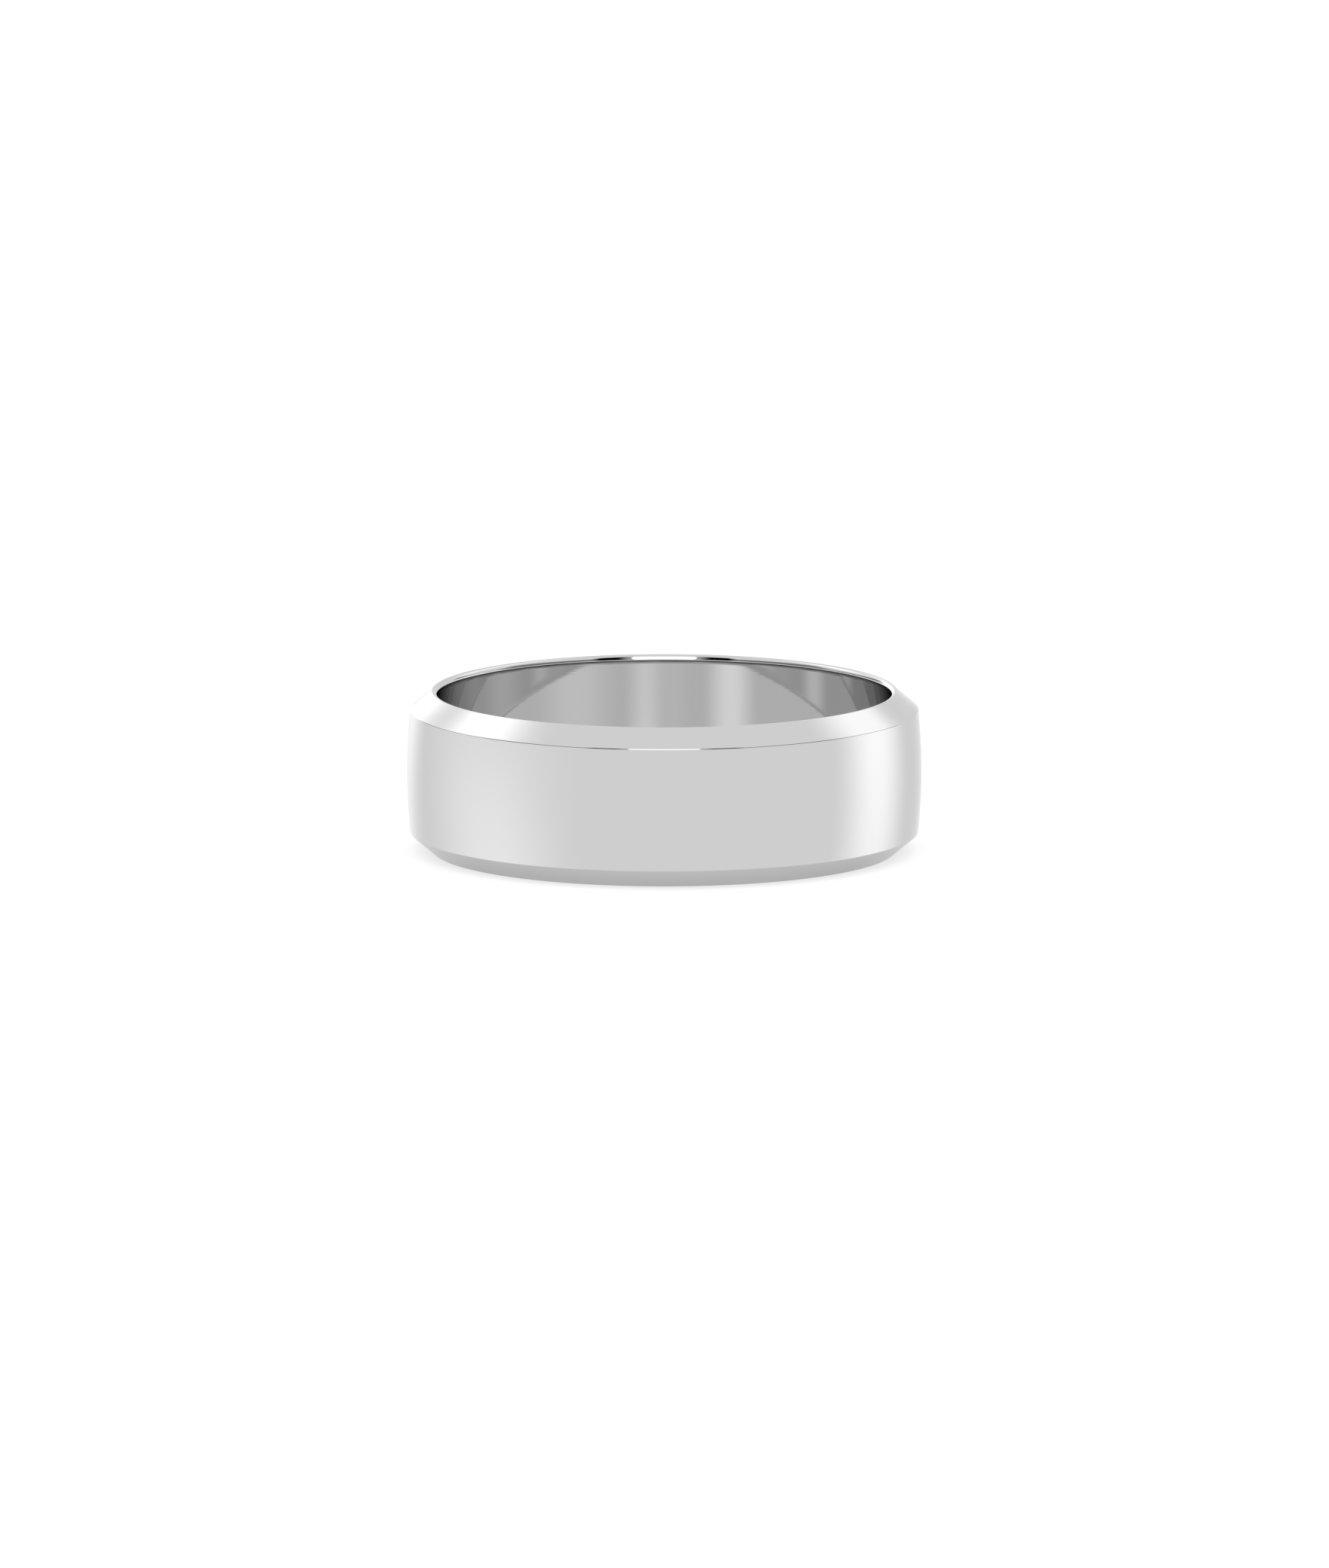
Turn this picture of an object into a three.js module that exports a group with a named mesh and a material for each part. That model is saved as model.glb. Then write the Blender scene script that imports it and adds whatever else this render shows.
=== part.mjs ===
// A bevelled wedding band in polished white gold, one seamless solid of revolution.
// Millimetres. +Z runs along the finger axis, and the band lies flat on its lower rim:
// the origin is the centre of the circle that this rim rests on, so the band fills z = 0 to BAND_WIDTH.
import * as THREE from "three";

// Driving dimensions
const BAND_WIDTH = 6.0; // rim to rim, along the finger
const OUTER_DIAMETER = 19.26; // at the crown, halfway up the band
const BORE_DIAMETER = 16.92; // the straight wall of the finger hole
const CENTRE_WIDTH = 4.66; // the domed middle of the band, between the two bevels
const CROWN_RISE = 0.126; // how far the dome stands out past its own two edges
const RIM_FLAT = 0.06; // radial width of the flat ring on each rim
const RIM_ROUND = 0.04; // radius that eases both edges of the flat ring
const COMFORT_RUN = 0.16; // how far the finger hole opens out towards each rim
const COMFORT_DEPTH = 0.34; // over how much of the width it does so
const CORNER_ROUND = 0.05; // radius that eases the dome into the bevel

// Facets
const CIRCLE_SEGMENTS = 128;
const DOME_STEPS = 4;
const CORNER_STEPS = 2;
const RIM_STEPS = 2;
const COMFORT_STEPS = 4;

const WHITE_GOLD = { color: 0xd3d3d2, roughness: 0.05, metalness: 1.0 };

const HALF_WIDTH = BAND_WIDTH / 2;
const OUTER_RADIUS = OUTER_DIAMETER / 2;
const BORE_RADIUS = BORE_DIAMETER / 2;

// The points of an arc in the section plane, x being the distance from the finger axis and y the height.
function arc(centre, radius, fromAngle, toAngle, steps) {
  const points = [];
  for (let i = 0; i <= steps; i += 1) {
    const angle = THREE.MathUtils.lerp(fromAngle, toAngle, i / steps);
    const offset = new THREE.Vector2(Math.cos(angle), Math.sin(angle));
    points.push(centre.clone().addScaledVector(offset, radius));
  }
  return points;
}

// The arc that eases the corner between the directions to two neighbouring points.
function easedCorner(corner, before, after, radius, steps) {
  const toBefore = before.clone().sub(corner).normalize();
  const toAfter = after.clone().sub(corner).normalize();
  const halfAngle = Math.acos(toBefore.dot(toAfter)) / 2;
  const inward = toBefore.clone().add(toAfter).normalize();
  const centre = corner.clone().addScaledVector(inward, radius / Math.sin(halfAngle));
  const tangent = radius / Math.tan(halfAngle);
  const start = corner.clone().addScaledVector(toBefore, tangent).sub(centre);
  const end = corner.clone().addScaledVector(toAfter, tangent).sub(centre);
  return arc(centre, radius, start.angle(), end.angle(), steps);
}

// The dome from the crown to its edge, as an arc about the mid-width plane.
function domeArc() {
  const halfCentre = CENTRE_WIDTH / 2;
  const radius = (halfCentre ** 2 + CROWN_RISE ** 2) / (2 * CROWN_RISE);
  const centre = new THREE.Vector2(OUTER_RADIUS - radius, 0);
  return arc(centre, radius, 0, Math.asin(halfCentre / radius), DOME_STEPS);
}

// The comfort curve from the flat ring down to the straight wall, which it meets without a corner.
function comfortArc() {
  const radius = (COMFORT_RUN ** 2 + COMFORT_DEPTH ** 2) / (2 * COMFORT_RUN);
  const centre = new THREE.Vector2(BORE_RADIUS + radius, HALF_WIDTH - COMFORT_DEPTH);
  const turn = Math.asin(COMFORT_DEPTH / radius);
  return arc(centre, radius, Math.PI - turn, Math.PI, COMFORT_STEPS);
}

// The upper half of the section, from the crown over the bevel and the rim to the bore, about mid-width.
function upperSection() {
  const dome = domeArc();
  const domeEdge = dome.pop();
  const comfort = comfortArc();
  const flatInner = comfort.shift();
  const flatOuter = flatInner.clone().add(new THREE.Vector2(RIM_FLAT, 0));
  return [
    ...dome,
    ...easedCorner(domeEdge, dome.at(-1), flatOuter, CORNER_ROUND, CORNER_STEPS),
    ...easedCorner(flatOuter, domeEdge, flatInner, RIM_ROUND, RIM_STEPS),
    ...easedCorner(flatInner, flatOuter, comfort[0], RIM_ROUND, RIM_STEPS),
    ...comfort,
  ];
}

// The whole section, closed on itself: the upper half, then its mirror image from the bore back to the crown.
function bandSection() {
  const upper = upperSection();
  const lower = upper
    .map((point) => new THREE.Vector2(point.x, -point.y))
    .reverse();
  return [...upper, ...lower].map((point) => point.add(new THREE.Vector2(0, HALF_WIDTH)));
}

function makeBand() {
  const geometry = new THREE.LatheGeometry(bandSection(), CIRCLE_SEGMENTS);
  geometry.rotateX(Math.PI / 2);
  const band = new THREE.Mesh(geometry, new THREE.MeshStandardMaterial(WHITE_GOLD));
  band.name = "band";
  return band;
}

const weddingBand = new THREE.Group();
weddingBand.add(makeBand());

export default weddingBand;
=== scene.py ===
"""A bevelled wedding band in polished white gold, lying on one rim in a white jewellery studio.

The band is a solid of revolution about +Z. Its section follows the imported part's to within a twentieth of a
millimetre, and adds the rounds and slow curves that only a mirror finish shows. Lengths are in millimetres
until a mesh or an object is made. Azimuths are in degrees from the camera, positive to the camera's right.
"""

from math import acos, asin, atan2, cos, hypot, pi, radians, sin, tan

import bpy
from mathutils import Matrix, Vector


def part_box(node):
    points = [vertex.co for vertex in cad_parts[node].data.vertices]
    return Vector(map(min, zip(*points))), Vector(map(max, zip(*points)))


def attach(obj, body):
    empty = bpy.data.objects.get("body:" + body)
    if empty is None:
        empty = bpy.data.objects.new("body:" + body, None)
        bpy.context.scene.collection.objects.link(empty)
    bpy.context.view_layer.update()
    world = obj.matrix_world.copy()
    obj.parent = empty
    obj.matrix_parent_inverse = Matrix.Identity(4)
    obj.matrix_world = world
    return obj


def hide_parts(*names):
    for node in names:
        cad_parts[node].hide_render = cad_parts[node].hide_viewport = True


MM = 0.001

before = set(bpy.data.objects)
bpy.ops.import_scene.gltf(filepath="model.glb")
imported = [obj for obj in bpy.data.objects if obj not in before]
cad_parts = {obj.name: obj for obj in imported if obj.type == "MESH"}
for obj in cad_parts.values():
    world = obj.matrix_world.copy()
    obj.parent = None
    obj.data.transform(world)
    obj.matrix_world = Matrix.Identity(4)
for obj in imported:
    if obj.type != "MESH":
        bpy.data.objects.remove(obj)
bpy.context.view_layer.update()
band_low, band_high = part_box("band")

# The section, in millimetres: the dome over the middle, a bevel down to each rim, and the finger hole
BAND_WIDTH = (band_high.z - band_low.z) / MM
OUTER_RADIUS = band_high.x / MM
BORE_RADIUS = 8.465
CENTRE_WIDTH = 4.60
CROWN_RISE = 0.126
CORNER_ROUND = 0.06
RIM_FLAT = 0.012
RIM_ROUND = 0.03

# The way into the finger hole: a round, an easing curve that starts a few degrees off the wall,
# and the wall, which leans inwards by its taper from a middle stretch that is a hair wider
INNER_ROUND = 0.2
EASE_ANGLE = 5.0
EASE_RADIUS = 1.5
BORE_TAPER = 0.0105
BORE_MIDDLE = 0.74

# Facets of the fine surface: along each stretch of the upper half of the section, and round the band
DOME_STEPS = 24
ROUND_STEPS = 10
BEVEL_STEPS = 4
INNER_STEPS = 20
EASE_STEPS = 12
WALL_STEPS = 12
TURN_STEPS = 512

# The camera
CAMERA_ELEVATION = 9.2
CAMERA_LENS = 1400.0
SENSOR = 36.0
FRAME_HEIGHT_MM = 58.65
BAND_ABOVE_FRAME_CENTRE = 0.53
BAND_LEFT_OF_FRAME_CENTRE = 0.01
CLIP_START_SHARE = 0.01
CLIP_END_M = 20.0


# ---------------------------------------------------------------- section


class Section:
    """The outline of the metal in the (radius, height) plane, as points with outward normals."""

    def __init__(self):
        self.points = []

    def arc(self, centre, radius, start, end, steps, joined=False):
        """A convex arc about centre. A joined one starts on the last point, which isn't put in twice."""
        for i in range(1 if joined else 0, steps + 1):
            angle = start + (end - start) * i / steps
            normal = Vector((cos(angle), sin(angle)))
            self.points.append((centre + normal * radius, normal))

    def line(self, start, end, steps):
        """The inner points of a straight stretch, whose ends belong to the rounds on either side."""
        along = (end - start).normalized()
        normal = Vector((along.y, -along.x))
        for i in range(1, steps):
            self.points.append((start.lerp(end, i / steps), normal))

    def bore(self, top, steps):
        """The wall from just below top to mid-height, where it is a hair wider."""
        reach = hypot(top.y, BORE_MIDDLE)
        for i in range(1, steps):
            height = top.y * (1 - i / steps)
            hollow = hypot(height, BORE_MIDDLE)
            point = Vector((top.x + BORE_TAPER * (reach - hollow), height))
            self.points.append((point, Vector((-1, -BORE_TAPER * height / hollow)).normalized()))


def eased_corner(corner, before, after, radius):
    """Centre, start angle and end angle of the arc that rounds a convex corner."""
    to_before = (before - corner).normalized()
    to_after = (after - corner).normalized()
    half = acos(to_before.dot(to_after)) / 2
    centre = corner + (to_before + to_after).normalized() * (radius / sin(half))
    reach = radius / tan(half)
    start = corner + to_before * reach - centre
    end = corner + to_after * reach - centre
    return centre, atan2(start.y, start.x), atan2(end.y, end.x)


def upper_section():
    """From the crown, over the dome's edge, the bevel and the rim, to mid-height of the bore."""
    half = BAND_WIDTH / 2
    dome_radius = ((CENTRE_WIDTH / 2) ** 2 + CROWN_RISE**2) / (2 * CROWN_RISE)
    dome_centre = Vector((OUTER_RADIUS - dome_radius, 0))
    dome_angle = asin(CENTRE_WIDTH / 2 / dome_radius)
    dome_edge = dome_centre + Vector((cos(dome_angle), sin(dome_angle))) * dome_radius
    before_edge = dome_edge + Vector((sin(dome_angle), -cos(dome_angle)))

    ease = radians(EASE_ANGLE)
    comfort_run = EASE_RADIUS * (1 - cos(ease)) + INNER_ROUND * cos(ease)
    flat_inner = Vector((BORE_RADIUS + comfort_run, half))
    flat_outer = flat_inner + Vector((RIM_FLAT, 0))
    corner = eased_corner(dome_edge, before_edge, flat_outer, CORNER_ROUND)
    rim = eased_corner(flat_outer, dome_edge, flat_inner, RIM_ROUND)
    corner_reach = CORNER_ROUND * tan((corner[2] - corner[1]) / 2) / dome_radius

    section = Section()
    section.arc(dome_centre, dome_radius, 0, dome_angle - corner_reach, DOME_STEPS)
    section.arc(corner[0], CORNER_ROUND, corner[1] - corner_reach, corner[2], ROUND_STEPS, joined=True)
    bevel_start = section.points[-1][0]
    bevel_end = rim[0] + Vector((cos(rim[1]), sin(rim[1]))) * RIM_ROUND
    section.line(bevel_start, bevel_end, BEVEL_STEPS)
    section.arc(rim[0], RIM_ROUND, rim[1], rim[2], ROUND_STEPS)
    round_centre = flat_inner - Vector((0, INNER_ROUND))
    ease_centre = round_centre + Vector((cos(ease), -sin(ease))) * (EASE_RADIUS - INNER_ROUND)
    section.arc(round_centre, INNER_ROUND, pi / 2, pi - ease, INNER_STEPS)
    section.arc(ease_centre, EASE_RADIUS, pi - ease, pi + BORE_TAPER, EASE_STEPS, joined=True)
    section.bore(section.points[-1][0], WALL_STEPS)
    return section.points


def band_section():
    """The closed section: the upper half, then its mirror image from the bore back to the crown."""
    upper = upper_section()
    mirrored = [
        (Vector((point.x, -point.y)), Vector((normal.x, -normal.y)))
        for point, normal in reversed(upper[1:])
    ]
    return upper + mirrored


def build_band():
    """The fine surface of the band, one closed skin with exact normals."""
    section = band_section()
    half = BAND_WIDTH / 2
    count = len(section)
    vertices, normals, faces = [], [], []
    for turn in range(TURN_STEPS):
        angle = 2 * pi * turn / TURN_STEPS
        across = Vector((cos(angle), sin(angle), 0))
        for point, normal in section:
            place = across * point.x + Vector((0, 0, point.y + half))
            vertices.append(place * MM)
            normals.append(across * normal.x + Vector((0, 0, normal.y)))
        here, there = turn * count, (turn + 1) % TURN_STEPS * count
        for i in range(count):
            j = (i + 1) % count
            faces.append((here + i, there + i, there + j, here + j))
    mesh = bpy.data.meshes.new("band_surface")
    mesh.from_pydata(vertices, [], faces)
    mesh.shade_smooth()
    mesh.normals_split_custom_set_from_vertices(normals)
    band = bpy.data.objects.new("band_surface", mesh)
    bpy.context.scene.collection.objects.link(band)
    return band


# ---------------------------------------------------------------- nodes


class Nodes:
    """A node tree with short calls for the few nodes that the materials and the world use."""

    def __init__(self, tree):
        self.tree = tree
        tree.nodes.clear()

    def add(self, kind, inputs=None, **settings):
        """A new node. An input that is a socket is linked, and any other is set as a plain value."""
        node = self.tree.nodes.new(kind)
        for name, value in settings.items():
            setattr(node, name, value)
        for name, value in (inputs or {}).items():
            if isinstance(value, bpy.types.NodeSocket):
                self.tree.links.new(value, node.inputs[name])
            else:
                node.inputs[name].default_value = value
        return node

    def math(self, operation, *values):
        inputs = dict(enumerate(values))
        return self.add("ShaderNodeMath", inputs, operation=operation).outputs[0]

    def smooth(self, value, low, high, start=0.0, end=1.0):
        """Start below low, end above high, and a smooth step between them."""
        inputs = {0: value, "From Min": low, "From Max": high, "To Min": start, "To Max": end}
        return self.add("ShaderNodeMapRange", inputs, interpolation_type="SMOOTHSTEP").outputs[0]

    def mix(self, factor, low, high):
        inputs = {"Factor": factor, "A": low, "B": high}
        return self.add("ShaderNodeMix", inputs, data_type="FLOAT").outputs["Result"]

    def dot(self, vector, axis):
        inputs = {0: vector, 1: axis}
        return self.add("ShaderNodeVectorMath", inputs, operation="DOT_PRODUCT").outputs["Value"]

    def window(self, value, low, high, blur_low, blur_high):
        """1 between low and high, fading to 0 over a blur centred on each edge."""
        rise = self.smooth(value, low - blur_low / 2, low + blur_low / 2)
        fall = self.smooth(value, high - blur_high / 2, high + blur_high / 2, 1.0, 0.0)
        return self.math("MULTIPLY", rise, fall)


# ---------------------------------------------------------------- studio

# The ground, the walls and the dim room. A window is (from, to, fade at from, fade at to)
GROUND_LEVEL = 0.925
ROOM_LEVEL = 0.23
ROOM_ELEVATIONS = (9, 42, 3, 12)
ROOM_SIDE_FADE = (88, 105)

# The softbox and its flags, across and up a plane that faces its tilt at distance 1
SOFTBOX_LEVEL = 1.6
SOFTBOX_TILT = 21.2
SOFTBOX_HEIGHTS = (-0.2, 1.27, 0.03, 0.4)
SOFTBOX_EDGE = 0.28
SOFTBOX_BLUR = 0.01
FLAG_EDGE = 0.66
FLAG_BLUR = 0.14
SPILL_LEVEL = 0.5
SPILL_START, SPILL_END = -0.02, 0.13
FRONT_ONLY = 0.2

# Soft lights round the walls, and two dim strips that take light away:
# amount, then a window of azimuths and a window of elevations
SOFT_LIGHTS = {
    "right": (0.55, (95, 128, 30, 30), (-30, 20, 80, 20)),
    "low on the left": (0.25, (-115, -60, 50, 50), (-60, 0, 40, 45)),
    "right rear": (0.5, (130, 150, 15, 15), (25, 60, 15, 15)),
    "left rear": (0.75, (-145, -120, 20, 20), (30, 55, 20, 25)),
    "behind, on the left": (1.0, (-170, -148, 25, 25), (-5, 20, 25, 40)),
    "behind, low": (0.07, (-200, -160, 20, 20), (-35, 2, 20, 10)),
    "dim strip, left": (-0.72, (-150, -98, 6, 16), (9.5, 19, 2, 2)),
    "dim strip, right": (-0.72, (98, 137, 16, 8), (9.5, 21, 2, 6)),
}


def studio_light(nodes):
    """How bright the studio is in each direction, as the polished metal mirrors it."""
    ray = nodes.add("ShaderNodeTexCoord").outputs["Generated"]
    axes = nodes.add("ShaderNodeSeparateXYZ", {0: ray}).outputs
    towards_camera = nodes.math("MULTIPLY", axes["Y"], -1.0)
    azimuth = nodes.math("DEGREES", nodes.math("ARCTAN2", axes["X"], towards_camera))
    elevation = nodes.math("DEGREES", nodes.math("ARCSINE", axes["Z"]))
    level = room_light(nodes, nodes.math("ABSOLUTE", azimuth), elevation)
    for amount, across, up in SOFT_LIGHTS.values():
        middle = (across[0] + across[1]) / 2
        turned = nodes.math("WRAP", azimuth, middle + 180, middle - 180)
        light = nodes.math("MULTIPLY", nodes.window(turned, *across), nodes.window(elevation, *up))
        level = nodes.math("ADD", level, nodes.math("MULTIPLY", light, amount))
    return front_light(nodes, ray, axes["X"], level)


def room_light(nodes, side, elevation):
    """White ground and white walls, with the dim room showing between them on the camera's side."""
    strip = nodes.window(elevation, *ROOM_ELEVATIONS)
    room = nodes.math("MULTIPLY", strip, nodes.smooth(side, *ROOM_SIDE_FADE, 1.0, 0.0))
    return nodes.mix(room, GROUND_LEVEL, ROOM_LEVEL)


def front_light(nodes, ray, sideways, level):
    """The softbox over the camera, and on either side of it a black flag that catches some spill."""
    tilt = radians(SOFTBOX_TILT)
    ahead = nodes.dot(ray, (0, -cos(tilt), sin(tilt)))
    across = nodes.math("ABSOLUTE", nodes.math("DIVIDE", sideways, ahead))
    up = nodes.math("DIVIDE", nodes.dot(ray, (0, sin(tilt), cos(tilt))), ahead)
    facing = nodes.math("GREATER_THAN", ahead, FRONT_ONLY)
    height = nodes.math("MULTIPLY", nodes.window(up, *SOFTBOX_HEIGHTS), facing)
    flag_width = nodes.window(across, SOFTBOX_EDGE, FLAG_EDGE, SOFTBOX_BLUR, FLAG_BLUR)
    flag = nodes.math("MULTIPLY", height, flag_width)
    spill = nodes.smooth(across, SOFTBOX_EDGE + SPILL_START, SOFTBOX_EDGE + SPILL_END, SPILL_LEVEL, 0.0)
    box_width = nodes.smooth(across, SOFTBOX_EDGE - SOFTBOX_BLUR, SOFTBOX_EDGE, 1.0, 0.0)
    box = nodes.math("MULTIPLY", height, box_width)
    return nodes.mix(box, nodes.mix(flag, level, spill), SOFTBOX_LEVEL)


# The floor, in metres, and a painted contact shadow: how much of the studio the metal sees through the floor
# near the band
FLOOR_SIZE = 3.0
FLOOR_DROP = 1e-5
FLOOR_LIGHT = 2.2
FLOOR_WHITE = 0.235
FLOOR_GLOW = 0.66
HOLE_RADIUS = 8.65 * MM
SHADE_START, SHADE_END = 8.0 * MM, 10.6 * MM
SHADE_LEVEL = 0.62


def build_world():
    """The studio for mirrored rays, and plain even light for everything else."""
    world = bpy.data.worlds.new("studio")
    world.use_nodes = True
    nodes = Nodes(world.node_tree)
    mirrored = nodes.add("ShaderNodeBackground", {"Strength": studio_light(nodes)})
    even = nodes.add("ShaderNodeBackground", {"Color": (1, 1, 1, 1), "Strength": FLOOR_LIGHT})
    mirrored.inputs["Color"].default_value = (1, 1, 1, 1)
    glossy = nodes.add("ShaderNodeLightPath").outputs["Is Glossy Ray"]
    mix = nodes.add("ShaderNodeMixShader", {0: glossy, 1: even.outputs[0], 2: mirrored.outputs[0]})
    nodes.add("ShaderNodeOutputWorld", {"Surface": mix.outputs[0]})
    bpy.context.scene.world = world


def build_floor():
    """A wide white floor with some glow. The metal mirrors the studio through it, darkened near the band by a
    painted shadow.
    """
    mesh = bpy.data.meshes.new("floor")
    signs = [(-1, -1), (1, -1), (1, 1), (-1, 1)]
    corners = [(x * FLOOR_SIZE, y * FLOOR_SIZE, -FLOOR_DROP) for x, y in signs]
    mesh.from_pydata(corners, [], [(0, 1, 2, 3)])
    floor = bpy.data.objects.new("floor", mesh)
    bpy.context.scene.collection.objects.link(floor)

    material = bpy.data.materials.new("floor_white")
    material.use_nodes = True
    nodes = Nodes(material.node_tree)
    place = nodes.add("ShaderNodeNewGeometry").outputs["Position"]
    axes = nodes.add("ShaderNodeSeparateXYZ", {0: place}).outputs
    flat = nodes.add("ShaderNodeCombineXYZ", {"X": axes["X"], "Y": axes["Y"]}).outputs[0]
    radius = nodes.add("ShaderNodeVectorMath", {0: flat}, operation="LENGTH").outputs["Value"]
    # Painted shadow: mirrored rays through the floor are darkened in a ring just outside the band, standing
    # in for its contact shadow; inside the finger hole they are not
    outside = nodes.smooth(radius, SHADE_START, SHADE_END, SHADE_LEVEL, 1.0)
    inside = nodes.math("LESS_THAN", radius, HOLE_RADIUS)
    shade = nodes.math("MAXIMUM", inside, outside)
    painted_shadow_colour = nodes.add("ShaderNodeCombineColor", {0: shade, 1: shade, 2: shade}).outputs[0]
    lit = nodes.add("ShaderNodeBsdfDiffuse", {"Color": (FLOOR_WHITE, FLOOR_WHITE, FLOOR_WHITE, 1)})
    glow = nodes.add("ShaderNodeEmission", {"Strength": FLOOR_GLOW})
    white = nodes.add("ShaderNodeAddShader", {0: lit.outputs[0], 1: glow.outputs[0]})
    through = nodes.add("ShaderNodeBsdfTransparent", {"Color": painted_shadow_colour})
    glossy = nodes.add("ShaderNodeLightPath").outputs["Is Glossy Ray"]
    mix = nodes.add("ShaderNodeMixShader", {0: glossy, 1: white.outputs[0], 2: through.outputs[0]})
    nodes.add("ShaderNodeOutputMaterial", {"Surface": mix.outputs[0]})
    mesh.materials.append(material)


# ---------------------------------------------------------------- metal

HAZE_SCALE = 450.0
HAZE_DETAIL = 4.0
HAIRLINE_SCALE = 20000.0
HAIRLINE_DETAIL = 3.0
HAIRLINE_DEPTH = 5e-8
ROUGHNESS_LEAST = 0.004
ROUGHNESS_RANGE = 0.06
TONE_LOW = (0.662, 0.662, 0.663, 1)
TONE_HIGH = (0.672, 0.672, 0.671, 1)
GRAZING_TINT = (0.88, 0.88, 0.88, 1)


def polished_white_gold():
    """A mirror from the polishing wheel, with the faintest haze, and hairlines running round the band."""
    material = bpy.data.materials.new("polished_white_gold")
    material.use_nodes = True
    nodes = Nodes(material.node_tree)
    place = nodes.add("ShaderNodeTexCoord").outputs["Object"]
    axes = nodes.add("ShaderNodeSeparateXYZ", {0: place}).outputs
    flat = nodes.add("ShaderNodeCombineXYZ", {"X": axes["X"], "Y": axes["Y"]}).outputs[0]
    radius = nodes.add("ShaderNodeVectorMath", {0: flat}, operation="LENGTH").outputs["Value"]
    turned = nodes.add("ShaderNodeCombineXYZ", {"X": radius, "Y": axes["Z"]}).outputs[0]

    haze_noise = {"Vector": place, "Scale": HAZE_SCALE, "Detail": HAZE_DETAIL}
    line_noise = {"Vector": turned, "Scale": HAIRLINE_SCALE, "Detail": HAIRLINE_DETAIL}
    haze = nodes.add("ShaderNodeTexNoise", haze_noise).outputs[0]
    lines = nodes.add("ShaderNodeTexNoise", line_noise).outputs[0]
    worn = nodes.math("MULTIPLY", haze, lines)
    roughness = nodes.math("MULTIPLY_ADD", worn, ROUGHNESS_RANGE, ROUGHNESS_LEAST)
    tones = {"Factor": haze, "A": TONE_LOW, "B": TONE_HIGH}
    tone = nodes.add("ShaderNodeMix", tones, data_type="RGBA").outputs["Result"]

    relief = nodes.add("ShaderNodeBump", {"Height": lines, "Distance": HAIRLINE_DEPTH}).outputs[0]

    metal = {"Base Color": tone, "Roughness": roughness, "Normal": relief}
    shader = nodes.add("ShaderNodeBsdfPrincipled", metal)
    shader.inputs["Metallic"].default_value = 1.0
    shader.inputs["Specular Tint"].default_value = GRAZING_TINT
    nodes.add("ShaderNodeOutputMaterial", {"Surface": shader.outputs[0]})
    return material


# ---------------------------------------------------------------- camera


def build_camera():
    """A long lens, almost parallel, at the photograph's low viewpoint."""
    data = bpy.data.cameras.new("camera")
    data.lens = CAMERA_LENS
    data.sensor_width = SENSOR
    distance = CAMERA_LENS * FRAME_HEIGHT_MM / SENSOR * MM
    angle = radians(CAMERA_ELEVATION)
    back = Vector((0, -cos(angle), sin(angle)))
    up = Vector((0, sin(angle), cos(angle)))
    centre = (band_low + band_high) / 2
    aim = centre - up * BAND_ABOVE_FRAME_CENTRE * MM + Vector((BAND_LEFT_OF_FRAME_CENTRE * MM, 0, 0))
    camera = bpy.data.objects.new("camera", data)
    camera.location = aim + back * distance
    camera.rotation_mode = "QUATERNION"
    camera.rotation_quaternion = (-back).to_track_quat("-Z", "Y")
    data.clip_start = distance * CLIP_START_SHARE
    data.clip_end = CLIP_END_M
    bpy.context.scene.collection.objects.link(camera)
    bpy.context.scene.camera = camera


def set_picture():
    """Plain colours, and enough bounces for the reflections inside the finger hole."""
    scene = bpy.context.scene
    scene.view_settings.view_transform = "Standard"
    scene.cycles.max_bounces = 32
    scene.cycles.glossy_bounces = 24
    scene.cycles.transparent_max_bounces = 32
    scene.cycles.min_light_bounces = 20


build_camera()
build_world()
build_floor()
set_picture()

band = build_band()
band.data.materials.append(polished_white_gold())
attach(band, "root")
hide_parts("band")
